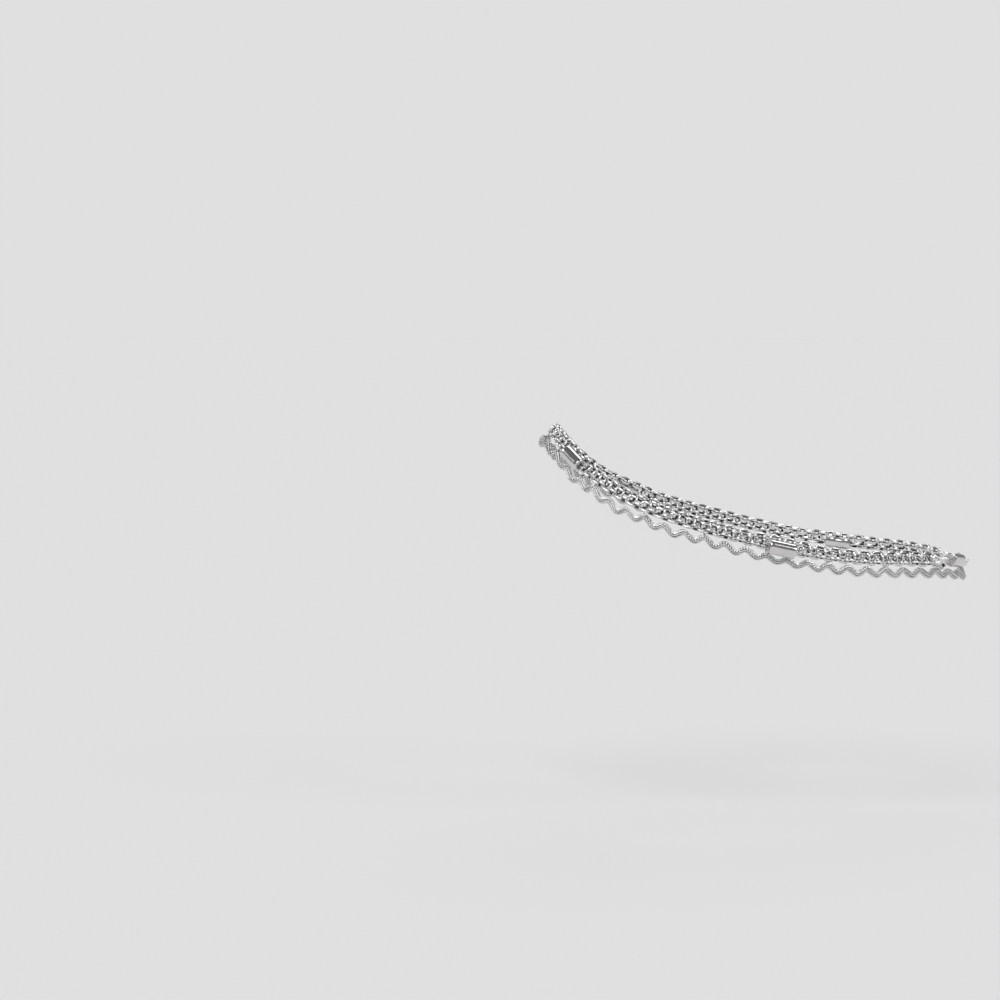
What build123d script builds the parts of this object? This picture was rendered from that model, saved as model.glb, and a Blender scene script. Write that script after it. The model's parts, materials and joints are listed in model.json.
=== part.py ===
from build123d import *
import os
from bisect import bisect_left
from math import asin, atan2, cos, hypot, pi, radians, sin, tan

# Payal anklet in silver, as it hangs round an ankle. All sizes in millimetres.
# +X points to the heel, -Y to the side that is seen, +Z up the leg.
# The origin is the middle of the ankle, at the mean height of the band.

# Worn loop: an egg that falls from the instep to the heel and sags at both sides.
half_length = 51.3          # instep to the middle of the loop
half_width = 32.0           # side to the middle of the loop
egg = 0.12                  # how much slimmer the heel end is than the instep end
heel_fall = 14.5            # half of the fall from the instep to the heel
side_sag = 9.5              # how far the two sides hang under the line of the ends
end_rise = 1.7              # steeper over the instep, level towards the heel
instep_arch = 0.58          # how much the loop arches over the instep's crown
front_lean = 50.0           # degrees that the band's top edge leans in at the instep
side_lean = 12.0            # the same at the sides
heel_lean = 24.0            # the same at the heel
lean_power = 3              # how late the lean changes towards the two ends
route_steps = 3000

# Double ring chain.
row_diameter = 1.7
row_spacing = 1.95          # upper row to lower row, centre to centre
periods = 64                # ring and connector pairs along the strand
row_gap = 0.25              # from a row's end to the wire or barrel that it meets

# Barrel beads on the lower row, and the pins that they turn on.
barrel_diameter = 3.5
barrel_length = 6.6
barrel_bore = 1.1
barrel_rim = 0.3
barrel_stand_off = 0.9      # further out than the rows, because the barrel is thicker
first_barrel = 11           # periods from the strand's start to its first barrel
barrel_pitch = 15           # periods from barrel to barrel
barrel_count = 4
pin_diameter = 0.7
pin_overhang = 0.1
clear_margin = 0.8          # how far past a barrel's end the other chains keep clear
clear_ramp = 3.2            # length over which they bend back to their own line
row_raise = 0.45            # how far the upper row rises over a barrel
wave_calm = 0.3             # how much flatter the wave chain runs under a barrel
wave_drop = 0.1             # how far it dips there
lie_back = 0.5              # how far both lie back towards the skin there

# Wave chain under the band.
wave_diameter = 1.6
wave_height = 1.3           # crest to trough along the centre line
wave_gap = 0.25             # band's lower edge to the crests
free_sag = 0.7              # extra sag halfway between two hanging rings at the instep
plumb = 0.85                # how far the waves turn from the band's width to hang plumb
waves_per_knot = 3
knot_pitch = 4              # periods from one hanging ring to the next
knot_lift = 0.06            # the crest at a hanging ring is pulled up this far
wave_set_back = 0.3         # the thinner chain lies nearer the skin
near_extra_crests = 3       # crests past the first hanging ring, up to the jump ring
near_end_height = -1.15     # the chain's near end rises to the jump ring that carries it
far_end_height = -2.8       # its far end hangs from the last ring of the lower row

# Heel end: end barrel, clasp and the links between them.
end_barrel_at = 9.35        # along the loop from the heel
end_barrel_stand_off = 0.5
clasp_stand_off = 0.9       # these two line the clasp's eye up with the end barrel's
clasp_drop = 0.4
heel_spacing = 0.7          # between those eyes' wires along the loop, whose bend adds as much again
clasp_body = (5.0, 3.0, 1.7)
clasp_corner = 0.8
eye_outer = 2.0
eye_wire = 0.45
eye_stem = 0.6              # the soldered neck is thicker than the eye's wire
barrel_neck = 1.2           # between the end barrel and each of its eyes
clasp_neck = 0.15           # the same on the clasp
jump_wire = 0.45
jump_inner_width = 1.25
jump_play = 0.18            # between the jump ring and the two wires that it holds
wire_spacing = 1.4          # about what a jump ring holds, wire to wire, centre to centre
end_link_wire = 0.6
end_link_length = 1.9       # tip to base, centre to centre of its wire
end_link_height = 3.0
end_link_corner = 0.55

fillet_share = 0.45         # of the shorter run, taken by each side of an arc

os.makedirs("parts", exist_ok=True)


# ---------------------------------------------------------------- the worn loop

def loop_point(angle):
    """Centre line of the band at a plan angle: 0 at the heel, then along the near side."""
    x = half_length * cos(angle)
    y = -half_width * sin(angle) * (1 - egg * cos(angle))
    z = (-heel_fall * cos(angle) + side_sag / 2 * cos(2 * angle) - end_rise * cos(3 * angle)
         + instep_arch * (cos(4 * angle) - cos(5 * angle)))
    return Vector(x, y, z)


def measure_loop():
    """Length along the loop at each of the even steps of angle."""
    lengths = [0.0]
    last = loop_point(0)
    for step in range(1, route_steps + 1):
        point = loop_point(2 * pi * step / route_steps)
        lengths.append(lengths[-1] + (point - last).length)
        last = point
    return lengths


loop_lengths = measure_loop()
loop_length = loop_lengths[-1]


def angle_at(along):
    """Plan angle at a length along the loop from the heel."""
    turns, rest = divmod(along, loop_length)
    step = max(1, bisect_left(loop_lengths, rest))
    low, high = loop_lengths[step - 1], loop_lengths[step]
    return 2 * pi * (turns + (step - 1 + (rest - low) / (high - low)) / route_steps)


def lean_at(angle):
    """Degrees that the band's top edge leans towards the leg."""
    end_lean = heel_lean if cos(angle) > 0 else front_lean
    return side_lean + (end_lean - side_lean) * abs(cos(angle)) ** lean_power


def frame_at(along):
    """Point, direction along, outward face direction and width direction of the band."""
    angle = angle_at(along)
    step = 2 * pi / route_steps
    direction = (loop_point(angle + step) - loop_point(angle - step)).normalized()
    level_out = Vector(0, 0, 1).cross(direction).normalized()
    level_up = direction.cross(level_out)
    lean = radians(lean_at(angle))
    out = level_out * cos(lean) + level_up * sin(lean)
    up = level_up * cos(lean) - level_out * sin(lean)
    return loop_point(angle), direction, out, up


def band_point(along, height=0.0, outward=0.0):
    """Point at a height and stand-off from the band's centre line."""
    point, _, out, up = frame_at(along)
    return point + up * height + out * outward


def straight_frame(along, height=0.0, outward=0.0):
    """Plane whose x runs along the loop, y down the band's width and z outward."""
    point, direction, out, up = frame_at(along)
    return Plane(origin=point + up * height + out * outward, x_dir=direction, z_dir=out)


# ------------------------------------------------------------------ tube making

def turn_between(before, corner, after):
    """Degrees that a route turns at a corner."""
    return (corner - before).get_angle(after - corner)


def corner_radii(points):
    """The largest arc that the two runs at each corner leave room for."""
    radii = []
    for before, corner, after in zip(points, points[1:], points[2:]):
        run = min((corner - before).length, (after - corner).length)
        radii.append(fillet_share * run / tan(radians(turn_between(before, corner, after)) / 2))
    return radii


def tube(name, points, diameter):
    """Round tube along straight runs joined by tangent arcs."""
    radii = corner_radii(points)
    path = FilletPolyline(*points, radius=radii)
    start = Plane(origin=path @ 0, z_dir=path % 0)
    solid = sweep(start * Circle(diameter / 2), path=path)
    share = solid.volume / (pi * diameter**2 / 4 * path.length)
    print(f"{name}: length {path.length:.1f}, arcs {min(radii):.2f} to {max(radii):.0f},"
          f" volume over section times length {share:.4f}")
    return solid


def closed_wire(points, corner, wire):
    """Closed ring of round wire through rounded corners."""
    path = FilletPolyline(*points, radius=corner, close=True)
    start = Plane(origin=path @ 0, z_dir=path % 0)
    return sweep(start * Circle(wire / 2), path=path)


def oval_ring(inner_length, inner_width, wire):
    """Ring of round wire in the XY plane, with two straight sides along X."""
    bend = (inner_width + wire) / 2
    half = (inner_length - inner_width) / 2
    path = Wire([
        Edge.make_line((-half, -bend, 0), (half, -bend, 0)),
        Edge.make_three_point_arc((half, -bend, 0), (half + bend, 0, 0), (half, bend, 0)),
        Edge.make_line((half, bend, 0), (-half, bend, 0)),
        Edge.make_three_point_arc((-half, bend, 0), (-half - bend, 0, 0), (-half, -bend, 0)),
    ])
    start = Plane(origin=path @ 0, z_dir=path % 0)
    return sweep(start * Circle(wire / 2), path=path)


def round_ring(outer, wire):
    """Round ring of round wire in the XY plane."""
    return Torus((outer - wire) / 2, wire / 2)


# ----------------------------------------------------------- places on the loop

barrel_half = barrel_length / 2
eye_radius = (eye_outer - eye_wire) / 2
barrel_reach = barrel_half + barrel_neck + eye_outer / 2      # middle to an eye's centre
clasp_reach = clasp_body[0] / 2 + clasp_neck + eye_outer / 2

link_chain = eye_radius + wire_spacing + end_link_length
clasp_at = end_barrel_at - barrel_reach - 2 * eye_radius - heel_spacing - clasp_reach

strand_start = end_barrel_at + barrel_reach + link_chain
strand_end = loop_length + clasp_at - clasp_reach - link_chain
period = (strand_end - strand_start) / periods
barrel_places = [strand_start + (first_barrel + barrel_pitch * k) * period
                 for k in range(barrel_count)]
upper_height = row_spacing / 2
lower_height = -row_spacing / 2
band_half_height = (row_spacing + row_diameter) / 2


def near_barrel(along):
    """1 beside a barrel, falling smoothly to 0 past its ends."""
    share = 0.0
    for place in barrel_places:
        past_end = abs(along - place) - barrel_half - clear_margin
        part = min(1.0, max(0.0, 1 - past_end / clear_ramp))
        share = max(share, part * part * (3 - 2 * part))
    return share


# -------------------------------------------------------------------- the chains

def upper_row():
    """Upper ring chain, which rises over every barrel."""
    start, stop = strand_start + row_gap, strand_end - row_gap
    count = periods
    points = []
    for k in range(count + 1):
        along = start + (stop - start) * k / count
        beside = near_barrel(along)
        points.append(band_point(along, upper_height + row_raise * beside, -lie_back * beside))
    return tube("upper_row", points, row_diameter)


def lower_rows():
    """Lower ring chain, in pieces between the barrels."""
    stops = [strand_start + row_gap]
    for place in barrel_places:
        stops += [place - barrel_half - row_gap, place + barrel_half + row_gap]
    stops.append(strand_end - row_gap)
    rows = {}
    for number, (start, stop) in enumerate(zip(stops[::2], stops[1::2]), 1):
        count = round((stop - start) / period)
        points = [band_point(start + (stop - start) * k / count, lower_height)
                  for k in range(count + 1)]
        rows[f"lower_row_{number}"] = tube(f"lower_row_{number}", points, row_diameter)
    return rows


def zigzag_height(wanted, half_wave):
    """Height of a zigzag whose rounded centre line is as high as wanted."""
    low, high = wanted, 4 * wanted
    for _ in range(40):
        height = (low + high) / 2
        run = hypot(half_wave, height)
        rounding = fillet_share * run * tan(atan2(height, half_wave) / 2)
        if height - 2 * rounding < wanted:
            low = height
        else:
            high = height
    return high


def hung_point(along, height):
    """Point of the wave chain: the deeper it hangs, the further it swings down the slope."""
    beside = near_barrel(along)
    _, direction, _, up = frame_at(along)
    swing = plumb * height * direction.Z / up.Z
    return band_point(along + swing, height, -wave_set_back - lie_back * beside)


def wave_chain():
    """Fine chain in waves, hung from the lower row at every third crest."""
    wave = knot_pitch * period / waves_per_knot
    zigzag = zigzag_height(wave_height, wave / 2)
    middle = -band_half_height - wave_gap - wave_diameter / 2 - wave_height / 2
    first = -2 * near_extra_crests
    last = 2 * waves_per_knot * periods // knot_pitch
    points = []
    for k in range(first, last + 1):
        along = strand_start + k * wave / 2
        beside = near_barrel(along)
        reach = zigzag / 2 * (1 - wave_calm * beside)
        height = middle + (reach if k % 2 == 0 else -reach) - wave_drop * beside
        if k == first:
            height = near_end_height
        elif k == last:
            height = far_end_height
        elif k % (2 * waves_per_knot) == 0:
            height += knot_lift * (1 - beside)
        else:
            between = (1 - cos(pi * k / waves_per_knot)) / 2
            height -= free_sag * between * ((1 - cos(angle_at(along))) / 2) ** 3
        points.append(hung_point(along, height))
    return tube("wave_chain", points, wave_diameter)


# ------------------------------------------------------- barrels, clasp and links

def plain_barrel():
    """Barrel bead along Z with rounded rims."""
    barrel = Cylinder(barrel_diameter / 2, barrel_length)
    return fillet(barrel.edges().filter_by(GeomType.CIRCLE), barrel_rim)


def along_x(plane):
    """The same place, with Z along the loop."""
    return Plane(origin=plane.origin, x_dir=plane.y_dir, z_dir=plane.x_dir)


def strung_barrels():
    """Four hollow barrels, and the pins through them."""
    pieces = {}
    for number, place in enumerate(barrel_places, 1):
        seat = along_x(straight_frame(place, lower_height, barrel_stand_off))
        bored = plain_barrel() - Cylinder(barrel_bore / 2, 2 * barrel_length)
        pin = Cylinder(pin_diameter / 2, barrel_length + 2 * pin_overhang)
        pieces[f"barrel_{number}"] = seat * bored
        pieces[f"barrel_pin_{number}"] = seat * pin
    return pieces


def with_eyes(body, half, neck):
    """A body along X with a round eye soldered to each end by a short neck."""
    for side in (-1, 1):
        stem_end = half + neck + eye_wire / 2
        stem = Rot(0, side * 90, 0) * Cylinder(
            eye_stem / 2, stem_end, align=(Align.CENTER, Align.CENTER, Align.MIN))
        eye = Pos(side * (half + neck + eye_outer / 2), 0, 0) * round_ring(eye_outer, eye_wire)
        body = body + stem + eye
    return body


def end_barrel():
    """Barrel in line with the whole band, with an eye at each end."""
    return with_eyes(Rot(0, 90, 0) * plain_barrel(), barrel_half, barrel_neck)


def clasp():
    """Plain clasp body with an eye at each end."""
    length, height, thick = clasp_body
    body = extrude(RectangleRounded(length, height, clasp_corner), thick / 2, both=True)
    body = fillet(body.faces().filter_by(Axis.Z).edges(), thick * 0.3)
    return with_eyes(body, length / 2, clasp_neck)


def end_link():
    """Triangular wire link: tip at the origin, base towards +X across the two rows."""
    half = (end_link_height - end_link_wire) / 2
    run = end_link_length - end_link_corner
    side_angle = atan2(half, run) - asin(end_link_corner / hypot(run, half))
    tip = -end_link_corner * (1 / sin(side_angle) - 1)
    corners = [(tip, 0, 0), (end_link_length, -half, 0), (end_link_length, half, 0)]
    return closed_wire(corners, end_link_corner, end_link_wire)


def jump_ring(start, stop, facing, start_wire, stop_wire):
    """Oval ring, edge-on to the band, round two wires whose centres are given."""
    heading = (stop - start).normalized()
    spare = heading * ((stop_wire - start_wire) / 4)
    inner_length = (stop - start).length + (start_wire + stop_wire) / 2 + 2 * jump_play
    side = heading.cross(facing).normalized()
    plane = Plane(origin=(start + stop) / 2 + spare, x_dir=heading, z_dir=side)
    return plane * oval_ring(inner_length, jump_inner_width, jump_wire)


def heel_links():
    """End barrel, clasp, jump rings and end links, from the near strand to the far one."""
    barrel_plane = straight_frame(end_barrel_at, 0, end_barrel_stand_off)
    clasp_plane = straight_frame(clasp_at, -clasp_drop, clasp_stand_off)
    pieces = {"end_barrel": barrel_plane * end_barrel(), "clasp": clasp_plane * clasp()}

    def eye_wire_at(plane, reach, side):
        return plane.from_local_coords(Vector(side * (reach + eye_radius), 0, 0))

    ends = (
        (1, eye_wire_at(barrel_plane, barrel_reach, 1), strand_start),
        (2, eye_wire_at(clasp_plane, clasp_reach, -1), strand_end),
    )
    for number, eye, base in ends:
        base_plane = straight_frame(base)
        heading = (base_plane.origin - eye).normalized()
        facing = (base_plane.z_dir - heading * base_plane.z_dir.dot(heading)).normalized()
        tip = base_plane.origin - heading * (end_link_length + end_link_wire / 2)
        link_plane = Plane(origin=tip, x_dir=heading, z_dir=facing)
        pieces[f"end_link_{number}"] = link_plane * end_link()
        pieces[f"jump_ring_{number}"] = jump_ring(eye, tip, facing, eye_wire, end_link_wire)
        print(f"wires in jump_ring_{number} are {(tip - eye).length:.2f} apart")

    start = eye_wire_at(barrel_plane, barrel_reach, -1)
    stop = eye_wire_at(clasp_plane, clasp_reach, 1)
    facing = (barrel_plane.z_dir + clasp_plane.z_dir).normalized()
    pieces["jump_ring_3"] = jump_ring(start, stop, facing, eye_wire, eye_wire)
    print(f"wires in jump_ring_3 are {(stop - start).length:.2f} apart")
    return pieces


parts = {"upper_row": upper_row(), **lower_rows(), "wave_chain": wave_chain(),
         **strung_barrels(), **heel_links()}

for name, piece in parts.items():
    export_step(piece, f"parts/{name}.step")

print(f"loop {loop_length:.1f}, period {period:.3f}, barrels at "
      + ", ".join(f"{place:.1f}" for place in barrel_places))
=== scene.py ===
import json
import logging
from dataclasses import dataclass, field
from enum import Enum
from functools import cached_property
from math import cos, pi, radians, sin

import bpy
import numpy as np
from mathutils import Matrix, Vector


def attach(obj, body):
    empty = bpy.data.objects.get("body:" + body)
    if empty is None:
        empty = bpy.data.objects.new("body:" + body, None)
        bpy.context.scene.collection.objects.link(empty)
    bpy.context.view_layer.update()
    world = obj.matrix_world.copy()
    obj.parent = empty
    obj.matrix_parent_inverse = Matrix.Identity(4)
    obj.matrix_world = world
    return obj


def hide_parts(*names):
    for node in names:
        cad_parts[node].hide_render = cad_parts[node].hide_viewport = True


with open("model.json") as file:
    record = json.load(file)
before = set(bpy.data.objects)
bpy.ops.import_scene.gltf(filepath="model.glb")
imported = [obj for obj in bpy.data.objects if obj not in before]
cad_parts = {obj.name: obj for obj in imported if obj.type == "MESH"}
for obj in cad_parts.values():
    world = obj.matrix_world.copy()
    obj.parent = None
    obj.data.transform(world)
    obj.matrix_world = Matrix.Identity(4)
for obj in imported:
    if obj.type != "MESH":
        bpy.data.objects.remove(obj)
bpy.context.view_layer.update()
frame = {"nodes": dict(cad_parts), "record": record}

MM = 0.001
LOG = logging.getLogger("payal_anklet")

Array = np.ndarray
Colour = tuple[float, float, float]

# Strand coordinates are (along, height, outward) in metres: along the loop from the heel and by the
# near side first, up the band's width, and away from the leg. WornLoop.wrap carries them to the row
# frame.


class Slot(Enum):
    """Material slots of the record."""

    CHAIN = "silver_chain"
    POLISHED = "polished_silver"
    WIRE = "silver_wire"


class Row(Enum):
    """The band's two ring chains, by the side of the centre line that they lie on."""

    UPPER = 1
    LOWER = -1


class Outline(Enum):
    """Power of the superellipse that a ring's centre line follows."""

    SQUARISH = 2.4
    OVAL = 2.2
    ROUND = 2.0


class Lot(Enum):
    """Lots of rings whose small turns are drawn apart, by the number added to the seed."""

    UPPER_FACE = 20
    UPPER_EDGE = 30
    LOWER_FACE = 40
    LOWER_EDGE = 45
    CROSS_YAW = 90
    CROSS_SLANT = 95


LOT_STEP = 10  # between the numbers of one lower stretch's lots and the next one's
# a wire's recess sets how much painted shade it gets
RECESS_AT_FLANK = 0.3  # a wire's share of recess at its flanks, before the smooth step
RECESS_GROWTH = 1.2  # how much that share grows from a flank to the side that faces the hole
PATTERN_PER_METRE = 100  # pattern coordinates along a turned piece


# ------------------------------------------------------------------ the worn loop


@dataclass(frozen=True)
class Place:
    """A straight piece's place: its middle and its directions along, up and outward."""

    origin: Array
    along: Array
    up: Array
    out: Array

    def carry(self, points: Array) -> Array:
        """Carries points given as (along, up, out) to the row frame."""
        return self.origin + points @ np.stack([self.along, self.up, self.out])


@dataclass(frozen=True)
class WornLoop:
    """The band's centre line as it hangs round the ankle, and how the band leans along it."""

    half_length: float = 51.3 * MM
    half_width: float = 32.0 * MM
    egg: float = 0.12
    heel_fall: float = 14.5 * MM
    side_sag: float = 9.5 * MM
    end_rise: float = 1.7 * MM
    instep_arch: float = 0.58 * MM
    front_lean: float = 50.0
    side_lean: float = 12.0
    heel_lean: float = 24.0
    lean_power: float = 3.0
    steps: int = 3000

    def centre(self, angle: Array) -> Array:
        """Centre line at plan angles.

        In words: an egg in plan, whose width shrinks towards the heel, that falls from the instep
        to the heel by a cosine, hangs down at both sides by a double cosine, and steepens towards
        the instep by a triple one and by a quadruple less a quintuple one.

        Args:
            angle: Plan angles in radians, 0 at the heel, growing along the near side.

        Returns:
            Points in the row frame, one more axis than the angles.
        """
        across = np.cos(angle)
        x = self.half_length * across
        y = -self.half_width * np.sin(angle) * (1 - self.egg * across)
        z = (-self.heel_fall * across + self.side_sag / 2 * np.cos(2 * angle)
             - self.end_rise * np.cos(3 * angle)
             + self.instep_arch * (np.cos(4 * angle) - np.cos(5 * angle)))
        return np.stack([x, y, z], axis=-1)

    @cached_property
    def angles(self) -> Array:
        """Even steps of plan angle round the loop."""
        return np.linspace(0, 2 * pi, self.steps + 1)

    @cached_property
    def lengths(self) -> Array:
        """Length along the loop at each of the even steps."""
        runs = np.linalg.norm(np.diff(self.centre(self.angles), axis=0), axis=1)
        return np.concatenate([[0.0], np.cumsum(runs)])

    @property
    def length(self) -> float:
        """Length of the whole loop."""
        return float(self.lengths[-1])

    def angle(self, along: Array) -> Array:
        """Plan angle at lengths along the loop, held to one turn."""
        return np.interp(np.mod(along, self.length), self.lengths, self.angles)

    def axes(self, along: Array) -> tuple[Array, Array, Array, Array]:
        """Centre line and the band's three directions.

        In words: the level outward and upward directions are square to the loop's own direction,
        and both are turned about it by a lean that grows with a power of the cosine of the plan
        angle.

        Args:
            along: Lengths along the loop, also outside of one turn.

        Returns:
            Points, directions along, up and outward.
        """
        angle = self.angle(along)
        step = 2 * pi / self.steps
        ahead = self.centre(angle + step) - self.centre(angle - step)
        ahead /= np.linalg.norm(ahead, axis=-1, keepdims=True)
        level_out = np.cross([0.0, 0.0, 1.0], ahead)
        level_out /= np.linalg.norm(level_out, axis=-1, keepdims=True)
        level_up = np.cross(ahead, level_out)
        across = np.cos(angle)
        end_lean = np.where(across > 0, self.heel_lean, self.front_lean)
        lean = self.side_lean + (end_lean - self.side_lean) * np.abs(across) ** self.lean_power
        lean = np.radians(lean)[..., None]
        out = level_out * np.cos(lean) + level_up * np.sin(lean)
        up = level_up * np.cos(lean) - level_out * np.sin(lean)
        return self.centre(angle), ahead, up, out

    def wrap(self, strand: Array) -> Array:
        """Bends points in strand coordinates round the loop."""
        origin, _, up, out = self.axes(strand[..., 0])
        return origin + up * strand[..., 1:2] + out * strand[..., 2:3]

    def place(self, along: float, height: float, outward: float) -> Place:
        """Place of a straight piece whose middle has these strand coordinates."""
        origin, ahead, up, out = self.axes(np.array(along))
        return Place(origin + up * height + out * outward, ahead, up, out)


@dataclass(frozen=True)
class StrandPlan:
    """Where the band's pieces lie along the loop."""

    loop: WornLoop = field(default_factory=WornLoop)
    periods: int = 64
    row_height: float = 0.975 * MM
    band_edge: float = -1.825 * MM
    barrel_length: float = 6.6 * MM
    barrel_diameter: float = 3.5 * MM
    barrel_stand_off: float = 0.9 * MM
    first_barrel: int = 11
    barrel_pitch: int = 15
    barrel_count: int = 4
    clear_margin: float = 0.8 * MM
    clear_ramp: float = 3.2 * MM
    end_barrel_at: float = 9.35 * MM
    end_barrel_reach: float = 5.5 * MM
    clasp_reach: float = 3.65 * MM
    eye_radius: float = 0.775 * MM
    heel_spacing: float = 0.7 * MM
    link_run: float = 4.075 * MM
    lie_back: float = 0.5 * MM

    @property
    def clasp_at(self) -> float:
        """Middle of the clasp, just past the heel on the far side."""
        near_eye = self.end_barrel_at - self.end_barrel_reach - self.eye_radius
        return near_eye - self.heel_spacing - self.eye_radius - self.clasp_reach

    @property
    def start(self) -> float:
        """Where the double strand starts, past the end barrel."""
        return self.end_barrel_at + self.end_barrel_reach + self.link_run

    @property
    def stop(self) -> float:
        """Where the double strand ends, before the clasp."""
        return self.loop.length + self.clasp_at - self.clasp_reach - self.link_run

    @property
    def period(self) -> float:
        """Length that one ring and one connector take."""
        return (self.stop - self.start) / self.periods

    @property
    def barrels(self) -> Array:
        """Middles of the four strung barrels."""
        return self.at(self.first_barrel + self.barrel_pitch * np.arange(self.barrel_count))

    @property
    def barrel_height(self) -> float:
        """Height of the barrels' axis in the band."""
        return -self.row_height

    def at(self, periods: Array) -> Array:
        """Length along the loop at a number of periods from the strand's start."""
        return self.start + np.asarray(periods) * self.period

    def from_barrel(self, along: Array) -> Array:
        """Signed distance to the nearest strung barrel's middle."""
        gaps = np.asarray(along)[..., None] - self.barrels
        nearest = np.argmin(np.abs(gaps), axis=-1)
        return np.take_along_axis(gaps, nearest[..., None], axis=-1)[..., 0]

    def near_barrel(self, along: Array) -> Array:
        """1 beside a barrel, falling to 0 past its ends by a smooth step."""
        past_end = np.abs(self.from_barrel(along)) - self.barrel_length / 2 - self.clear_margin
        return smooth_step(1 - past_end / self.clear_ramp)


def smooth_step(share: Array) -> Array:
    """Three times the square less twice the cube, of a share held between 0 and 1."""
    held = np.clip(share, 0.0, 1.0)
    return held * held * (3 - 2 * held)


# ------------------------------------------------------------------------- surfaces


@dataclass
class Surface:
    """Closed surface of quads, with how deep each point lies in a recess.

    Attributes:
        points: Corner places, one row each.
        faces: Corner numbers, four to a row, counter-clockwise from outside.
        recess: 0 on an open face to 1 in a hollow, one for each point; the materials paint shade by
            it.
        uv: Pattern coordinates, one row for each point.
    """

    points: Array
    faces: Array
    recess: Array
    uv: Array

    def moved(self, points: Array) -> "Surface":
        """The same surface with its points elsewhere."""
        return Surface(points, self.faces, self.recess, self.uv)

    def copied(self, centres: Array, turns: Array) -> "Surface":
        """Turned copies of the surface, all as one.

        In words: every point is turned by each copy's matrix and then moved to its centre.

        Args:
            centres: Middle of each copy, one row each.
            turns: Three by three matrix of each copy.

        Returns:
            One surface that holds all copies, one after another.
        """
        count, size = len(centres), len(self.points)
        points = np.einsum("kij,mj->kmi", turns, self.points) + centres[:, None, :]
        faces = self.faces[None] + size * np.arange(count)[:, None, None]
        return Surface(points.reshape(-1, 3), faces.reshape(-1, 4),
                       np.tile(self.recess, count), np.tile(self.uv, (count, 1)))


def joined(surfaces: list[Surface]) -> Surface:
    """Several surfaces as one."""
    starts = np.cumsum([0] + [len(part.points) for part in surfaces[:-1]])
    return Surface(np.concatenate([part.points for part in surfaces]),
                   np.concatenate([part.faces + start for part, start in zip(surfaces, starts)]),
                   np.concatenate([part.recess for part in surfaces]),
                   np.concatenate([part.uv for part in surfaces]))


def closed_grid(rows: int, columns: int) -> Array:
    """Faces of a grid whose rows and columns both close on themselves."""
    here = np.arange(rows * columns).reshape(rows, columns)
    below = np.roll(here, -1, axis=0)
    return np.stack([here, below, np.roll(below, -1, axis=1), np.roll(here, -1, axis=1)],
                    axis=-1).reshape(-1, 4)


def wire_ring(length: float, height: float, wire: float, outline: Outline,
              around: int = 14, sides: int = 6) -> Surface:
    """Ring of wire that lies in the plane of its first two axes.

    In words: the centre line is a superellipse, and round it the wire's section is a circle between
    the centre line's normal and the ring's own axis. A point is as deep in a recess as its side of
    the wire faces the hole, and the materials paint shade on it by that depth.

    Args:
        length: Outer size along the first axis.
        height: Outer size along the second axis.
        wire: Thickness of the wire.
        outline: How square the ring is.
        around: Steps round the ring.
        sides: Steps round the wire.

    Returns:
        The ring, centred on the origin.
    """
    turn = 2 * pi * np.arange(around) / around
    power = 2 / outline.value
    cosine, sine = np.cos(turn), np.sin(turn)
    line = np.stack([(length - wire) / 2 * np.sign(cosine) * np.abs(cosine) ** power,
                     (height - wire) / 2 * np.sign(sine) * np.abs(sine) ** power], axis=-1)
    ahead = np.roll(line, -1, axis=0) - np.roll(line, 1, axis=0)
    ahead /= np.linalg.norm(ahead, axis=1, keepdims=True)
    normal = np.stack([ahead[:, 1], -ahead[:, 0]], axis=-1)
    section = 2 * pi * np.arange(sides) / sides
    in_plane = line[:, None, :] + wire / 2 * np.cos(section)[None, :, None] * normal[:, None, :]
    across = np.broadcast_to(wire / 2 * np.sin(section)[None, :, None], (around, sides, 1))
    points = np.concatenate([in_plane, across], axis=-1).reshape(-1, 3)
    # painted shade: the side of the wire that faces the hole gets the most recess, which the
    # materials darken
    depth = smooth_step(RECESS_AT_FLANK - RECESS_GROWTH * np.cos(section))
    recess = np.broadcast_to(depth, (around, sides)).ravel()
    uv = np.stack(np.meshgrid(turn / (2 * pi), section / (2 * pi), indexing="ij"), axis=-1)
    return Surface(points, closed_grid(around, sides), recess, uv.reshape(-1, 2))


def tube(line: Array, radius: float) -> Surface:
    """Closed six-sided tube along a line in strand coordinates that hardly turns outward.

    In words: round each point of the line stands a regular hexagon, between the line's normal in
    the band's plane and the outward direction, and a pair of quads closes each end.

    Args:
        line: Rows of (along, height, outward).
        radius: Distance of the hexagon's corners from the line.

    Returns:
        The tube, which lies wholly in a recess, so that the materials paint it in full shade.
    """
    ahead = np.gradient(line, axis=0)[:, :2]
    ahead /= np.linalg.norm(ahead, axis=1, keepdims=True)
    normal = np.stack([ahead[:, 1], -ahead[:, 0], np.zeros(len(line))], axis=-1)
    sides = 6
    turn = 2 * pi * np.arange(sides) / sides
    points = (line[:, None, :] + radius * np.cos(turn)[None, :, None] * normal[:, None, :]
              + radius * np.sin(turn)[None, :, None] * np.array([0.0, 0.0, 1.0]))
    walls = closed_grid(len(line), sides)[:-sides]
    last = sides * (len(line) - 1)
    ends = np.array([(0, 1, 2, 3), (0, 3, 4, 5), (3, 2, 1, 0), (5, 4, 3, 0)])
    ends[2:] += last
    count = sides * len(line)
    # every point is fully in recess, so the tube is painted in shade
    return Surface(points.reshape(-1, 3), np.concatenate([walls, ends]), np.ones(count),
                   np.zeros((count, 2)))


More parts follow.
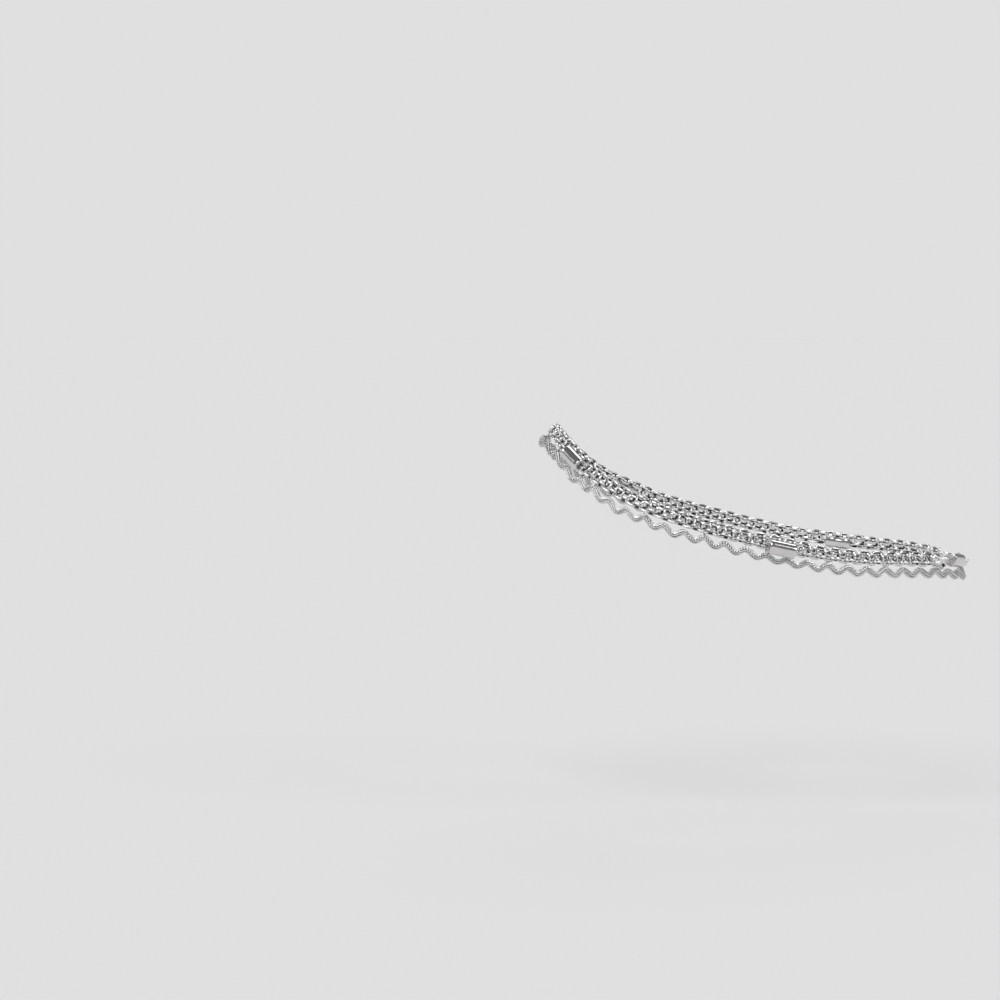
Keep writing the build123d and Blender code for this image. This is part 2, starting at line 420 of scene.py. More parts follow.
def lathed(profile: Array, recess: Array, sides: int) -> Surface:
    """Closed surface of revolution about the first axis.

    In words: each profile point is a distance along the axis and a radius, carried round the axis
    in even steps, and the profile closes on itself.

    Args:
        profile: Rows of (along, radius), in order, outer wall first and back through the bore.
        recess: How deep each profile point lies.
        sides: Steps round the axis.

    Returns:
        The surface, with u along the axis and v round it.
    """
    turn = 2 * pi * np.arange(sides) / sides
    shape = (len(profile), sides)
    along, radius = np.broadcast_to(profile[:, :1], shape), profile[:, 1:]
    points = np.stack([along, radius * np.cos(turn), radius * np.sin(turn)], axis=-1)
    round_axis = np.broadcast_to(turn / (2 * pi), shape)
    pattern = np.stack([along * PATTERN_PER_METRE, round_axis], axis=-1)
    return Surface(points.reshape(-1, 3), closed_grid(*shape), np.repeat(recess, sides),
                   pattern.reshape(-1, 2))


def turned(roll: Array, yaw: Array, slant: Array = 0.0) -> Array:
    """Matrices that roll about along, then yaw about up, then slant about outward, by degrees."""
    roll, yaw, slant = np.broadcast_arrays(*(np.radians(part) for part in (roll, yaw, slant)))
    zero, one = np.zeros_like(roll), np.ones_like(roll)

    def stacked(*rows: tuple[Array, Array, Array]) -> Array:
        """Matrices from their rows."""
        return np.stack([np.stack(row, axis=-1) for row in rows], axis=-2)

    about_along = stacked((one, zero, zero), (zero, np.cos(roll), -np.sin(roll)),
                          (zero, np.sin(roll), np.cos(roll)))
    about_up = stacked((np.cos(yaw), zero, np.sin(yaw)), (zero, one, zero),
                       (-np.sin(yaw), zero, np.cos(yaw)))
    about_out = stacked((np.cos(slant), -np.sin(slant), zero),
                        (np.sin(slant), np.cos(slant), zero), (zero, zero, one))
    return about_out @ about_up @ about_along


def shown(name: str, surface: Surface, material: bpy.types.Material,
          replaced: tuple[str, ...] = ()) -> bpy.types.Object:
    """Makes an object of a surface, and fastens it to the frame.

    In words: along, up and outward make a left-handed set, so a surface that was closed outward in
    strand coordinates has turned inside out in the row frame, and its faces are turned over here.

    Args:
        name: The piece's name.
        surface: Its surface in the row frame.
        material: Its material.
        replaced: The CAD nodes that it stands for.

    Returns:
        The object, at the origin.
    """
    mesh = bpy.data.meshes.new(name)
    faces = surface.faces[:, ::-1]
    count = len(faces)
    mesh.vertices.add(len(surface.points))
    mesh.vertices.foreach_set("co", surface.points.astype(np.float32).ravel())
    mesh.loops.add(4 * count)
    mesh.loops.foreach_set("vertex_index", faces.astype(np.int32).ravel())
    mesh.polygons.add(count)
    mesh.polygons.foreach_set("loop_start", np.arange(0, 4 * count, 4, dtype=np.int32))
    mesh.polygons.foreach_set("use_smooth", np.ones(count, dtype=bool))
    mesh.update(calc_edges=True)
    recess = mesh.attributes.new("recess", "FLOAT", "POINT")
    recess.data.foreach_set("value", surface.recess.astype(np.float32))
    uv_map = mesh.uv_layers.new(name="pattern")
    uv_map.data.foreach_set("uv", surface.uv[faces.ravel()].astype(np.float32).ravel())
    mesh.materials.append(material)
    piece = bpy.data.objects.new(name, mesh)
    bpy.context.scene.collection.objects.link(piece)
    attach(piece, "root")
    if replaced:
        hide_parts(*replaced)
    LOG.info("%s: %d faces, stands for %s", name, count, ", ".join(replaced) or "no node")
    return piece


# ------------------------------------------------------------------------- finishes


class NodeBoard:
    """Short calls for placing and joining shader nodes in one tree."""

    def __init__(self, tree: bpy.types.NodeTree) -> None:
        """Starts on an empty tree."""
        self.tree = tree
        tree.nodes.clear()

    def add(self, kind: str, **settings: object) -> bpy.types.Node:
        """Places a node and sets its own settings."""
        node = self.tree.nodes.new(kind)
        for name, value in settings.items():
            setattr(node, name, value)
        return node

    def put(self, socket: bpy.types.NodeSocket, value: object) -> None:
        """Links an input to a socket, or sets it to a plain value."""
        if isinstance(value, bpy.types.NodeSocket):
            self.tree.links.new(value, socket)
        else:
            socket.default_value = value

    def feed(self, node: bpy.types.Node, **inputs: object) -> bpy.types.Node:
        """Sets or links inputs; an underscore in a name stands for a space."""
        for name, value in inputs.items():
            self.put(node.inputs[name.replace("_", " ")], value)
        return node

    def maths(self, operation: str, first: object, second: object) -> bpy.types.NodeSocket:
        """Output of a Math node."""
        node = self.add("ShaderNodeMath", operation=operation)
        self.put(node.inputs[0], first)
        self.put(node.inputs[1], second)
        return node.outputs[0]

    def spread(self, value: bpy.types.NodeSocket, low: float, high: float,
               to_low: object, to_high: object) -> bpy.types.NodeSocket:
        """Output of a clamped Map Range node."""
        node = self.feed(self.add("ShaderNodeMapRange"), Value=value, From_Min=low, From_Max=high,
                         To_Min=to_low, To_Max=to_high)
        return node.outputs["Result"]

    def noise(self, vector: bpy.types.NodeSocket, scale: object, detail: float,
              roughness: float) -> bpy.types.NodeSocket:
        """Output of a Noise Texture node."""
        node = self.feed(self.add("ShaderNodeTexNoise"), Vector=vector, Scale=scale,
                         Detail=detail, Roughness=roughness)
        return node.outputs["Fac"]

    def mixed(self, share: object, first: object, second: object) -> bpy.types.NodeSocket:
        """Output of a colour Mix node."""
        node = self.add("ShaderNodeMix", data_type="RGBA")
        factor, colour_a, colour_b, colour_out = 0, 6, 7, 2  # sockets of a Mix node set to colour
        for number, value in ((factor, share), (colour_a, first), (colour_b, second)):
            self.put(node.inputs[number], value)
        return node.outputs[colour_out]


def effect_group(name: str, inputs: dict[str, tuple[str, object]],
                 outputs: dict[str, str]) -> tuple[bpy.types.NodeTree, NodeBoard]:
    """Starts a shader node group with named sockets.

    Args:
        name: The group's name.
        inputs: Socket kind and default value by name.
        outputs: Socket kind by name.

    Returns:
        The group and a board to fill it on.
    """
    group = bpy.data.node_groups.new(name, "ShaderNodeTree")
    for socket_name, (kind, value) in inputs.items():
        socket = group.interface.new_socket(socket_name, in_out="INPUT", socket_type=kind)
        if value is not None:
            socket.default_value = value
    for socket_name, kind in outputs.items():
        group.interface.new_socket(socket_name, in_out="OUTPUT", socket_type=kind)
    return group, NodeBoard(group)


def recess_shade_and_tarnish_group() -> bpy.types.NodeTree:
    """Painted shade that darkens recesses, and tarnish in faint clouds; both dull what they cover.
    """
    group, board = effect_group(
        "painted_recess_shade_and_tarnish",
        {"Vector": ("NodeSocketVector", None), "Recess": ("NodeSocketFloat", 0.0),
         "Amount": ("NodeSocketFloat", 1.0), "Cloud Scale": ("NodeSocketFloat", 900.0),
         "Bright": ("NodeSocketColor", (0.9, 0.9, 0.9, 1)),
         "Dark": ("NodeSocketColor", (0.1, 0.1, 0.1, 1)),
         "Smooth": ("NodeSocketFloat", 0.1), "Dull": ("NodeSocketFloat", 0.4)},
        {"Color": "NodeSocketColor", "Roughness": "NodeSocketFloat"})
    inside = board.add("NodeGroupInput").outputs
    outside = board.add("NodeGroupOutput").inputs
    clouds = board.noise(inside["Vector"], inside["Cloud Scale"], detail=3.0, roughness=0.6)
    cloud_share = board.spread(clouds, low=0.35, high=0.75, to_low=0.0, to_high=0.30)
    # painted shade: the recess depth darkens the silver towards the Dark colour; only the clouds
    # are tarnish
    depth = board.maths("MULTIPLY", inside["Recess"], inside["Amount"])
    share = board.maths("MAXIMUM", depth, board.maths("MULTIPLY", cloud_share, inside["Amount"]))
    colour = board.mixed(share, inside["Bright"], inside["Dark"])
    rough = board.spread(share, 0.0, 1.0, inside["Smooth"], inside["Dull"])
    board.tree.links.new(colour, outside["Color"])
    board.tree.links.new(rough, outside["Roughness"])
    return group


def hairline_group() -> bpy.types.NodeTree:
    """Fine polishing lines: noise drawn out along one pattern direction."""
    group, board = effect_group(
        "polishing_lines",
        {"Vector": ("NodeSocketVector", None), "Stretch": ("NodeSocketVector", (1.0, 40.0, 1.0)),
         "Scale": ("NodeSocketFloat", 10.0)},
        {"Height": "NodeSocketFloat"})
    inside = board.add("NodeGroupInput").outputs
    outside = board.add("NodeGroupOutput").inputs
    stretched = board.add("ShaderNodeVectorMath", operation="MULTIPLY")
    board.tree.links.new(inside["Vector"], stretched.inputs[0])
    board.tree.links.new(inside["Stretch"], stretched.inputs[1])
    lines = board.noise(stretched.outputs[0], inside["Scale"], detail=2.0, roughness=0.7)
    board.tree.links.new(lines, outside["Height"])
    return group


@dataclass(frozen=True)
class SilverFinish:
    """A silver surface: its polish, the shade painted in its recesses with its tarnish clouds, and
    its polishing lines.
    """

    name: str
    silver: Colour = (0.86, 0.86, 0.87)
    # colour of the shade painted in recesses, and of the tarnish clouds
    shade_and_tarnish: Colour = (0.045, 0.042, 0.04)
    smooth: float = 0.12
    dull: float = 0.45
    # how strongly the recess shade and the tarnish clouds are painted
    shade_and_tarnish_amount: float = 1.0
    cloud_scale: float = 700.0
    line_stretch: tuple[float, float, float] = (1.0, 1.0, 1.0)
    line_scale: float = 6000.0
    line_depth: float = 0.02 * MM
    line_strength: float = 0.15
    on_uv: bool = False

    def material(self, shade_and_tarnish: bpy.types.NodeTree,
                 lines: bpy.types.NodeTree) -> bpy.types.Material:
        """Builds the material.

        Args:
            shade_and_tarnish: The shared group that paints shade in recesses and tarnish in clouds.
            lines: The shared polishing line group.

        Returns:
            The material, ready to be put on pieces.
        """
        material = bpy.data.materials.new(self.name)
        material.use_nodes = True
        board = NodeBoard(material.node_tree)
        output = board.add("ShaderNodeOutputMaterial")
        shader = board.add("ShaderNodeBsdfPrincipled")
        shader.inputs["Metallic"].default_value = 1.0
        coordinates = board.add("ShaderNodeTexCoord").outputs
        recess = board.add("ShaderNodeAttribute", attribute_name="recess").outputs["Fac"]
        # mixes painted shade in recesses and tarnish clouds into the base colour and roughness
        painted_shade_and_tarnish = board.feed(
            board.add("ShaderNodeGroup", node_tree=shade_and_tarnish), Vector=coordinates["Object"],
            Recess=recess, Amount=self.shade_and_tarnish_amount, Cloud_Scale=self.cloud_scale,
            Bright=(*self.silver, 1), Dark=(*self.shade_and_tarnish, 1), Smooth=self.smooth, Dull=self.dull)
        pattern = coordinates["UV"] if self.on_uv else coordinates["Object"]
        hairlines = board.feed(
            board.add("ShaderNodeGroup", node_tree=lines), Vector=pattern,
            Stretch=self.line_stretch, Scale=self.line_scale)
        bump = board.feed(board.add("ShaderNodeBump"), Height=hairlines.outputs["Height"],
                          Strength=self.line_strength, Distance=self.line_depth)
        board.feed(shader, Base_Color=painted_shade_and_tarnish.outputs["Color"], Roughness=painted_shade_and_tarnish.outputs["Roughness"],
                   Normal=bump.outputs["Normal"])
        board.tree.links.new(shader.outputs["BSDF"], output.inputs["Surface"])
        return material


class Finishes:
    """The anklet's four silver finishes, made once."""

    def __init__(self) -> None:
        """Builds the shared groups and the materials."""
        groups = recess_shade_and_tarnish_group(), hairline_group()
        link_silver = (0.9, 0.9, 0.91)
        self.chain = SilverFinish(
            "bright_link_silver", silver=link_silver, smooth=0.18).material(*groups)
        self.wave = SilverFinish(
            "fine_link_silver", silver=link_silver, smooth=0.16).material(*groups)
        # the polished and wire silver get half of the painted recess shade and tarnish
        self.polished = SilverFinish(
            "mirror_silver", silver=(0.75, 0.745, 0.735), smooth=0.16, dull=0.3,
            shade_and_tarnish_amount=0.5, cloud_scale=350.0, line_stretch=(60.0, 1.0, 1.0),
            line_scale=4.0, line_strength=0.06, on_uv=True).material(*groups)
        self.wire = SilverFinish(
            "wire_silver", smooth=0.1, shade_and_tarnish_amount=0.5).material(*groups)


# ----------------------------------------------------------------- the ring chains


@dataclass
class RingBand:
    """The band: two rows of interlocked rings, and the cross rings that hold the rows together.

    Face rings lie in the band and edge rings stand across it, half a period apart. The lower row is
    half a period out of step with the upper one. From the ankle bone on, round the instep and the
    far side, both rows are rolled, so that all their rings lie aslant, and drawn in to the leg.
    """

    plan: StrandPlan
    link_length: float = 3.26 * MM
    link_height: float = 1.94 * MM
    link_wire: float = 0.72 * MM
    cross_height: float = 2.2 * MM
    cross_depth: float = 1.8 * MM
    cross_wire: float = 0.64 * MM
    cross_at: float = 0.29
    cross_clear: float = 0.7 * MM
    cross_lean: float = 14.0
    stroke_yaw: float = 68.0
    blob_yaw: float = 32.0
    row_raise: float = 0.45 * MM
    link_crowding: float = 1.0 * MM
    crowding_run: float = 8.0 * MM
    rolled_from: float = 66.0 * MM
    rolled_to: float = 84.0 * MM
    heel_roll: float = 7.0
    front_roll: float = 38.0
    rolled_in: float = 0.26 * MM
    roll_play: float = 6.0
    yaw_play: float = 4.0
    slant_play: float = 3.0
    cross_yaw_play: float = 12.0
    cross_slant_play: float = 6.0
    seed: int = 11

    def jitter(self, count: int, size: float, salt: int) -> Array:
        """Small steady turns in degrees, the same in every run."""
        return np.random.default_rng(self.seed + salt).uniform(-size, size, count)

    def rolled(self, along: Array) -> Array:
        """0 from the heel on the near side, 1 from the instep on and round the far side."""
        return smooth_step((along - self.rolled_from) / (self.rolled_to - self.rolled_from))

    def crowded(self, along: Array) -> Array:
        """Moves the lower row's links away from a barrel's ends, by an amount that dies away."""
        gap = self.plan.from_barrel(along)
        push = self.link_crowding * np.exp(-(np.abs(gap) - self.plan.period) / self.crowding_run)
        return along + np.sign(gap) * push

    def rings(self, row: Row, centres: Array, quarter: float, salt: int) -> Surface:
        """Rings of one row in strand coordinates.

        Args:
            row: The row that they belong to.
            centres: Their places along the loop.
            quarter: 0 for face rings, 90 for edge rings.
            salt: Keeps this lot's small turns apart from the others'.

        Returns:
            The rings, not yet bent round the loop.
        """
        count = len(centres)
        shape = wire_ring(self.link_length, self.link_height, self.link_wire, Outline.SQUARISH)
        rolled = self.rolled(centres)
        roll = row.value * (self.heel_roll + (self.front_roll - self.heel_roll) * rolled) + quarter
        middles = np.stack([centres, np.full(count, row.value * self.plan.row_height),
                            -self.rolled_in * rolled], axis=-1)
        turns = turned(roll + self.jitter(count, self.roll_play, salt),
                       self.jitter(count, self.yaw_play, salt + 1),
                       self.jitter(count, self.slant_play, salt + 2))
        return shape.copied(middles, turns)

    def upper_row(self) -> Surface:
        """The upper row, which rises over the barrels and lies back there by a smooth step."""
        plan = self.plan
        face = self.rings(Row.UPPER, plan.at(np.arange(plan.periods) + 0.5), 0.0,
                          Lot.UPPER_FACE.value)
        edge = self.rings(Row.UPPER, plan.at(np.arange(1, plan.periods)), 90.0,
                          Lot.UPPER_EDGE.value)
        rings = joined([face, edge])
        raised = rings.points.copy()
        beside = plan.near_barrel(raised[:, 0])
        raised[:, 1] += self.row_raise * beside
        raised[:, 2] -= plan.lie_back * beside
        return rings.moved(plan.loop.wrap(raised))

    def lower_rows(self) -> list[Surface]:
        """The lower row's stretches, from the heel on the near side."""
        plan = self.plan
        steps = np.arange(1, plan.periods)
        barrel_steps = plan.first_barrel + plan.barrel_pitch * np.arange(plan.barrel_count)
        faces_at = plan.at(steps[~np.isin(steps, barrel_steps)])
        halves = np.arange(plan.periods) + 0.5
        beside = np.min(np.abs(halves[:, None] - barrel_steps[None, :]), axis=1) < 1
        edges_at = plan.at(halves[~beside])
        ends = np.concatenate([[plan.start], plan.barrels, [plan.stop]])
        stretches = []
        for number, (start, stop) in enumerate(zip(ends, ends[1:])):
            face_at = self.crowded(faces_at[(faces_at > start) & (faces_at < stop)])
            edge_at = self.crowded(edges_at[(edges_at > start) & (edges_at < stop)])
            on = LOT_STEP * number
            rings = joined([self.rings(Row.LOWER, face_at, 0.0, Lot.LOWER_FACE.value + on),
                            self.rings(Row.LOWER, edge_at, 90.0, Lot.LOWER_EDGE.value + on)])
            stretches.append(rings.moved(plan.loop.wrap(rings.points)))
        return stretches

    def cross_rings(self) -> Surface:
        """Rings across the band's middle, two to a period, none beside a barrel."""
        plan = self.plan
        shape = wire_ring(self.cross_depth, self.cross_height, self.cross_wire, Outline.OVAL)
        clear = plan.barrel_length / 2 + self.cross_clear
        lots = []
        for side, yaw in ((-1, self.stroke_yaw), (1, self.blob_yaw)):
            steps = np.arange(plan.periods) + 0.5 + side * self.cross_at
            along = plan.at(steps)
            along = along[np.abs(plan.from_barrel(along)) > clear]
            count = len(along)
            middles = np.stack([along, np.zeros(count), np.zeros(count)], axis=-1)
            yaws = yaw + self.jitter(count, self.cross_yaw_play, Lot.CROSS_YAW.value + side)
            slants = side * self.cross_lean + self.jitter(
                count, self.cross_slant_play, Lot.CROSS_SLANT.value + side)
            lots.append(shape.copied(middles, turned(0.0, yaws, slants)))
        rings = joined(lots)
        return rings.moved(plan.loop.wrap(rings.points))

    def build(self, finishes: Finishes) -> None:
        """Shows both rows and the cross rings."""
        shown("upper_ring_chain", self.upper_row(), finishes.chain, ("upper_row",))
        for number, stretch in enumerate(self.lower_rows(), 1):
            shown(f"lower_ring_chain_{number}", stretch, finishes.chain,
                  (f"lower_row_{number}",))
        shown("cross_rings", self.cross_rings(), finishes.chain)


# ------------------------------------------------------------------- the wave chain


@dataclass
class WaveChain:
    """The fine chain that hangs under the band in waves, and the rings that it hangs from."""

    plan: StrandPlan
    diameter: float = 1.6 * MM
    wave_height: float = 1.3 * MM
    gap: float = 0.16 * MM
    free_sag: float = 0.7 * MM
    plumb: float = 0.85
    barrel_calm: float = 0.3
    barrel_drop: float = 0.1 * MM
    waves_per_knot: int = 3
    knot_pitch: int = 4
    knot_lift: float = 0.06 * MM
    set_back: float = 0.3 * MM
    near_extra: int = 3
    near_end_height: float = -1.15 * MM
    far_end_height: float = -2.8 * MM
    steps: int = 24
    link_pitch: float = 0.66 * MM
    link_length: float = 1.12 * MM
    link_height: float = 0.86 * MM
    link_wire: float = 0.36 * MM
    # share of the painted recess shade on the fine links
    inner_shade_share: float = 0.75
    link_slant: float = 24.0
    link_steps: int = 8
    link_sides: int = 5
    climb_reach: float = 0.2 * MM
    column_out: float = 0.55 * MM
    # thickness of the dark core, painted shade inside the strand
    core: float = 0.8 * MM
    core_short_by: int = 6
    core_stride: int = 2
    hanging_height: float = 1.5 * MM
    hanging_length: float = 1.1 * MM
    hanging_wire: float = 0.4 * MM
    hanging_yaw: float = 58.0
    hanging_set_back: float = 0.1 * MM
    near_ring_lift: float = 0.45 * MM
    far_ring_lift: float = 1.0 * MM
    far_ring_back: float = 1.0 * MM

    @property
    def half_wave(self) -> float:
        """Length along the loop from a crest to the next trough."""
        return self.knot_pitch * self.plan.period / self.waves_per_knot / 2

    def heights(self) -> tuple[Array, Array]:
        """Places along the loop and heights of every crest and trough.

        In words: crests and troughs stand half a wave's height above and below a middle line, less
        beside a barrel. Between two hanging rings all of them sag by a cosine hump, which grows
        from nothing at the heel to its full depth at the instep.

        Returns:
            The places and the heights, in order from the near end.
        """
        plan = self.plan
        last = 2 * self.waves_per_knot * plan.periods // self.knot_pitch
        number = np.arange(-2 * self.near_extra, last + 1)
        along = plan.start + number * self.half_wave
        beside = plan.near_barrel(along)
        middle = plan.band_edge - self.gap - self.diameter / 2 - self.wave_height / 2
        reach = self.wave_height / 2 * (1 - self.barrel_calm * beside)
        height = middle + np.where(number % 2 == 0, reach, -reach) - self.barrel_drop * beside
        at_knot = number % (2 * self.waves_per_knot) == 0
        height = height + np.where(at_knot, self.knot_lift * (1 - beside), 0.0)
        between = (1 - np.cos(pi * number / self.waves_per_knot)) / 2
        at_instep = (1 - np.cos(plan.loop.angle(along))) / 2
        height = height - self.free_sag * between * at_instep**3
        height[0], height[-1] = self.near_end_height, self.far_end_height
        return along, height

    def hung(self, along: Array, height: Array, outward: Array) -> Array:
        """Strand coordinates of points that hang plumb: the deepest swing furthest down-slope."""
        _, ahead, up, _ = self.plan.loop.axes(along)
        swing = self.plumb * height * ahead[:, 2] / up[:, 2]
        return np.stack([along + swing, height, outward], axis=-1)

    def line(self) -> Array:
        """The strand's centre line as (along, height, outward).

        In words: between a crest and the next trough the height follows half a cosine.
        """
        along, height = self.heights()
        number = np.arange(self.steps * (len(along) - 1) + 1) / self.steps
        whole = np.minimum(number.astype(int), len(along) - 2)
        part = number - whole
        level = height[whole] + (height[whole + 1] - height[whole]) * (1 - np.cos(pi * part)) / 2
        at = along[0] + number * self.half_wave
        outward = -self.set_back - self.plan.lie_back * self.plan.near_barrel(at)
        return self.hung(at, level, outward)

    def links(self) -> Surface:
        """The strand: columns of oval rings round a dark core, which paints the shade between the
        rings.

        In words: the four columns stand in front of the core, above, behind and below it, the rings
        of neighbouring columns half a step apart. Each ring is turned to the line's climb, and
        those in front and behind slant further.

        Returns:
            Rings and core as one surface in the row frame.
        """
        line = self.line()
        runs = np.linalg.norm(np.diff(line, axis=0), axis=1)
        measured = np.concatenate([[0.0], np.cumsum(runs)])
        spare = self.link_length / 2
        shape = wire_ring(self.link_length, self.link_height, self.link_wire, Outline.OVAL,
                          self.link_steps, self.link_sides)
        # less painted shade on the fine links' inner sides
        shape.recess = shape.recess * self.inner_shade_share
        lots = []
        for column in range(4):
            quarter = column * pi / 2
            here = np.arange(spare + column % 2 * self.link_pitch / 2, measured[-1] - spare,
                             self.link_pitch)
            middle = np.stack([np.interp(here, measured, line[:, axis]) for axis in range(3)],
                              axis=-1)
            rise = (np.interp(here + self.climb_reach, measured, line[:, 1])
                    - np.interp(here - self.climb_reach, measured, line[:, 1]))
            climb = np.arcsin(np.clip(rise / (2 * self.climb_reach), -1, 1))
            up_part, out_part = self.column_out * sin(quarter), self.column_out * cos(quarter)
            middles = middle + np.stack([-up_part * np.sin(climb), up_part * np.cos(climb),
                                         np.full(len(here), out_part)], axis=-1)
            slant = self.link_slant if column % 2 == 0 else 0.0
            turns = turned(-column * 90.0, 0.0, np.degrees(climb) + slant)
            lots.append(shape.copied(middles, turns))
        # the core is a dark fill that paints the shade between the rings
        core = line[self.core_short_by:-self.core_short_by:self.core_stride]
        strand = joined(lots + [tube(core, self.core / 2)])
        return strand.moved(self.plan.loop.wrap(strand.points))

    def hanging_rings(self) -> Surface:
        """Small rings that carry the chain from the lower row, and one at each of its ends."""
        plan = self.plan
        along = plan.at(np.arange(self.knot_pitch, plan.periods, self.knot_pitch))
        along = along[np.abs(plan.from_barrel(along)) > plan.barrel_length / 2]
        count = len(along)
        shape = wire_ring(self.hanging_length, self.hanging_height, self.hanging_wire, Outline.OVAL)
        middles = self.hung(along, np.full(count, plan.band_edge - self.gap / 2),
                            np.full(count, -self.hanging_set_back))
        ends = self.line()[[0, -1]]
        ends[0, 1] += self.near_ring_lift
        ends[1, :2] += (-self.far_ring_back, self.far_ring_lift)
        middles = np.concatenate([middles, ends])
        rings = shape.copied(middles, turned(0.0, np.full(len(middles), self.hanging_yaw)))
        return rings.moved(plan.loop.wrap(rings.points))

    def build(self, finishes: Finishes) -> None:
        """Shows the chain and its hanging rings."""
        shown("wave_chain_links", self.links(), finishes.wave, ("wave_chain",))
        shown("hanging_rings", self.hanging_rings(), finishes.wire)


# ---------------------------------------------------------------------- the barrels


@dataclass
class Barrels:
    """The four strung barrels and the rings at their ends."""

    plan: StrandPlan
    bore: float = 1.1 * MM
    bore_edge: float = 0.15 * MM
    rim: float = 0.3 * MM
    sides: int = 72
    rim_steps: int = 6
    wall_steps: int = 8
    end_ring: float = 1.5 * MM
    end_ring_wire: float = 0.46 * MM
    end_ring_gap: float = 0.2 * MM
    end_ring_outward: float = 0.35 * MM
    end_ring_yaw: float = 52.0

    def shell(self) -> Surface:
        """A bored barrel about the first axis.

        In words: a straight outer wall, quarter circles at both rims, flat end faces, bevels and a
        straight bore, all turned about the axis.

        Returns:
            The barrel, centred on the origin.
        """
        half, radius = self.plan.barrel_length / 2, self.plan.barrel_diameter / 2
        quarter = np.linspace(0, pi / 2, self.rim_steps + 1)
        places = np.linspace(-half + self.rim, half - self.rim, self.wall_steps + 1)[1:-1]
        wall = np.stack([places, np.full(len(places), radius)], axis=-1)
        far = np.stack([half - self.rim + self.rim * np.sin(quarter),
                        radius - self.rim + self.rim * np.cos(quarter)], axis=-1)
        outer = np.concatenate([far[::-1] * (-1, 1), wall, far])
        inner, edge = self.bore / 2, self.bore_edge
        bore = np.array([(half, inner + edge), (half - edge, inner),
                         (-half + edge, inner), (-half, inner + edge)])
        profile = np.concatenate([outer, bore])
        # painted shade: the bore is fully shaded, its bevels half
        recess = np.concatenate([np.zeros(len(outer)), (0.5, 1.0, 1.0, 0.5)])
        return lathed(profile[::-1], recess[::-1], self.sides)

    def build(self, finishes: Finishes) -> None:
        """Shows the four barrels and the rings at their ends."""
        plan = self.plan
        shell = self.shell()
        for number, along in enumerate(plan.barrels, 1):
            place = plan.loop.place(along, plan.barrel_height, plan.barrel_stand_off)
            shown(f"barrel_bead_{number}", shell.moved(place.carry(shell.points)),
                  finishes.polished, (f"barrel_{number}",))
        shape = wire_ring(self.end_ring, self.end_ring, self.end_ring_wire, Outline.ROUND)
        reach = plan.barrel_length / 2 + self.end_ring_gap
        along = np.concatenate([plan.barrels - reach, plan.barrels + reach])
        count = len(along)
        middles = np.stack([along, np.full(count, plan.barrel_height),
                            np.full(count, self.end_ring_outward)], axis=-1)
        rings = shape.copied(middles, turned(0.0, np.full(count, self.end_ring_yaw)))
        shown("barrel_end_rings", rings.moved(plan.loop.wrap(rings.points)),
              finishes.wire)


def dress_cad_nodes(finishes: Finishes) -> None:
    """Gives the nodes that stay visible their silver."""
    by_slot = {Slot.POLISHED.value: finishes.polished, Slot.WIRE.value: finishes.wire,
               Slot.CHAIN.value: finishes.chain}
    slots = {part["node"]: part["material_slot"] for part in frame["record"]["subparts"]}
    for name, node in frame["nodes"].items():
        if node.hide_render:
            continue
        node.data.materials.clear()
        node.data.materials.append(by_slot[slots[name]])
        LOG.info("%s keeps its CAD shape", name)


# ---------------------------------------------------------------------- the studio


@dataclass(frozen=True)
class Lamp:
    """A far soft lamp, which lights the whole floor alike.

    Attributes:
        name: The lamp's name.
        turn: Degrees round from the front, growing towards the heel.
        rise: Degrees above the floor.
        spread: Degrees that the lamp is wide.
        strength: Light on a face turned straight to it.
    """

    name: str
    turn: float
    rise: float
    spread: float
    strength: float

    def light(self) -> None:
        """Hangs the lamp."""
        data = bpy.data.lights.new(self.name, "SUN")
        data.angle = radians(self.spread)
        data.energy = self.strength
        lamp = bpy.data.objects.new(self.name, data)
        turn, rise = radians(self.turn), radians(self.rise)
        towards = Vector((sin(turn) * cos(rise), -cos(turn) * cos(rise), sin(rise)))
        lamp.rotation_euler = towards.to_track_quat("Z", "Y").to_euler()
        bpy.context.scene.collection.objects.link(lamp)


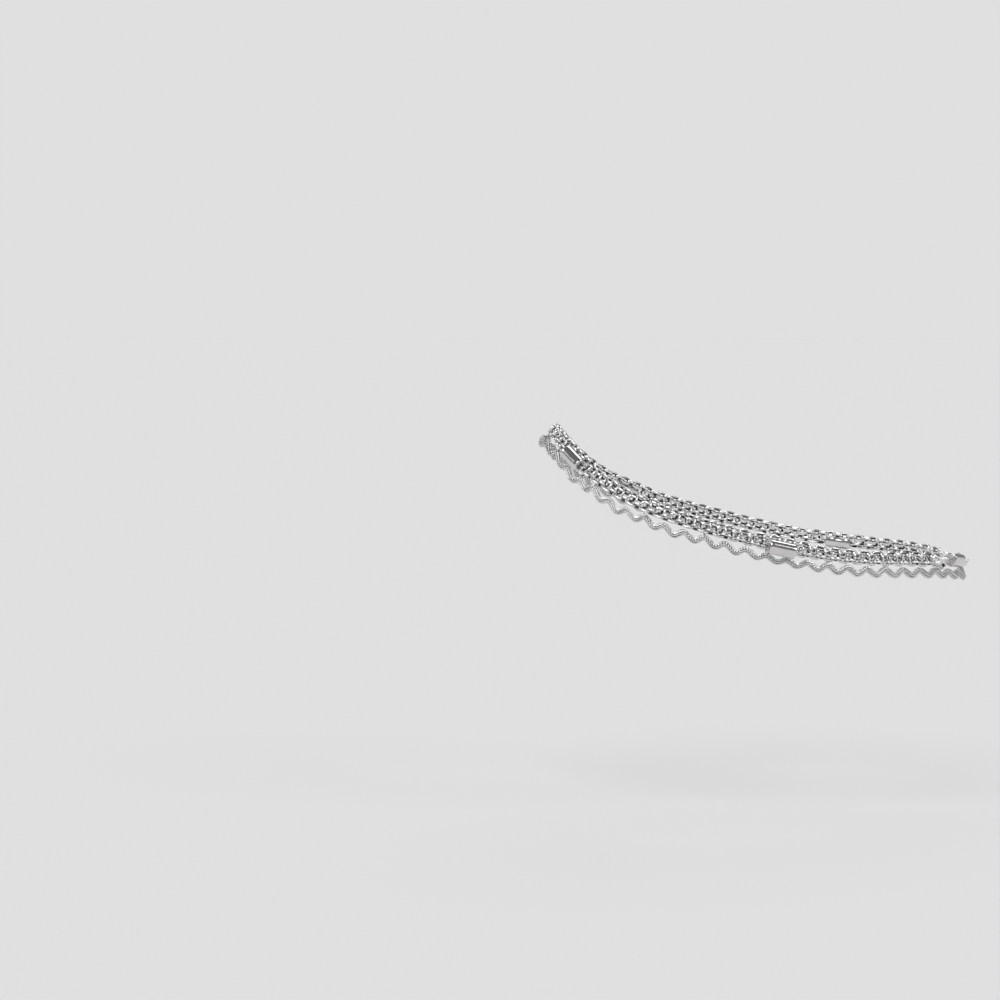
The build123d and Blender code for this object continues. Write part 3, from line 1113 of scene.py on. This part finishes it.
@dataclass
class Studio:
    """Plain pale floor, soft light and the camera."""

    floor_height: float = -0.072
    floor_size: float = 12.0
    floor_colour: Colour = (0.78, 0.78, 0.78)
    sky_pale: float = 0.743
    sky_dark: float = 0.14
    pale_up_to: float = 6.0
    dark_from: float = 16.0
    camera_place: tuple[float, float, float] = (-0.0649, -0.79805, 0.05973)
    camera_elevation: float = 4.0
    focal_length: float = 113.8
    sensor: float = 36.0

    def floor(self) -> None:
        """Lays the floor."""
        half = self.floor_size / 2
        mesh = bpy.data.meshes.new("floor")
        mesh.from_pydata([(-half, -half, self.floor_height), (half, -half, self.floor_height),
                          (half, half, self.floor_height), (-half, half, self.floor_height)],
                         [], [(0, 1, 2, 3)])
        floor = bpy.data.objects.new("floor", mesh)
        bpy.context.scene.collection.objects.link(floor)
        material = bpy.data.materials.new("pale_floor")
        material.use_nodes = True
        shader = material.node_tree.nodes["Principled BSDF"]
        shader.inputs["Base Color"].default_value = (*self.floor_colour, 1)
        shader.inputs["Roughness"].default_value = 1.0
        shader.inputs["Specular IOR Level"].default_value = 0.0
        mesh.materials.append(material)

    def sky(self) -> None:
        """Pale at the horizon, like the floor, and dark overhead."""
        world = bpy.data.worlds.new("studio")
        world.use_nodes = True
        bpy.context.scene.world = world
        board = NodeBoard(world.node_tree)
        output = board.add("ShaderNodeOutputWorld")
        background = board.feed(board.add("ShaderNodeBackground"), Color=(1.0, 1.0, 1.0, 1.0))
        direction = board.add("ShaderNodeTexCoord").outputs["Generated"]
        split = board.feed(board.add("ShaderNodeSeparateXYZ"), Vector=direction)
        level = board.spread(split.outputs["Z"], sin(radians(self.pale_up_to)),
                             sin(radians(self.dark_from)), self.sky_pale, self.sky_dark)
        board.tree.links.new(level, background.inputs["Strength"])
        board.tree.links.new(background.outputs["Background"], output.inputs["Surface"])

    def lamps(self) -> None:
        """Hangs a broad lamp in front and above, one on each side and one behind."""
        for lamp in (
            Lamp("front_lamp", -25.0, 52.0, 34.0, 1.5),
            Lamp("heel_lamp", 60.0, 40.0, 26.0, 0.8),
            Lamp("back_lamp", 170.0, 45.0, 30.0, 0.7),
            Lamp("toe_lamp", -100.0, 35.0, 24.0, 0.5),
        ):
            lamp.light()

    def camera(self) -> None:
        """Sets the camera up at its own angle and distance."""
        data = bpy.data.cameras.new("camera")
        data.lens = self.focal_length
        data.sensor_width = self.sensor
        camera = bpy.data.objects.new("camera", data)
        camera.location = self.camera_place
        camera.rotation_euler = (radians(90 - self.camera_elevation), 0.0, 0.0)
        bpy.context.scene.collection.objects.link(camera)
        bpy.context.scene.camera = camera

    def build(self) -> None:
        """Sets up the whole studio."""
        bpy.context.scene.view_settings.view_transform = "Standard"
        self.floor()
        self.sky()
        self.lamps()
        self.camera()


def main() -> None:
    """Builds the anklet's pieces in order, and then the studio."""
    logging.basicConfig(level=logging.INFO, format="%(message)s")
    plan = StrandPlan()
    LOG.info("loop %.1f mm, period %.3f mm", plan.loop.length / MM, plan.period / MM)
    finishes = Finishes()
    for part in (RingBand(plan), WaveChain(plan), Barrels(plan)):
        part.build(finishes)
    dress_cad_nodes(finishes)
    Studio().build()


if __name__ == "__main__":
    main()
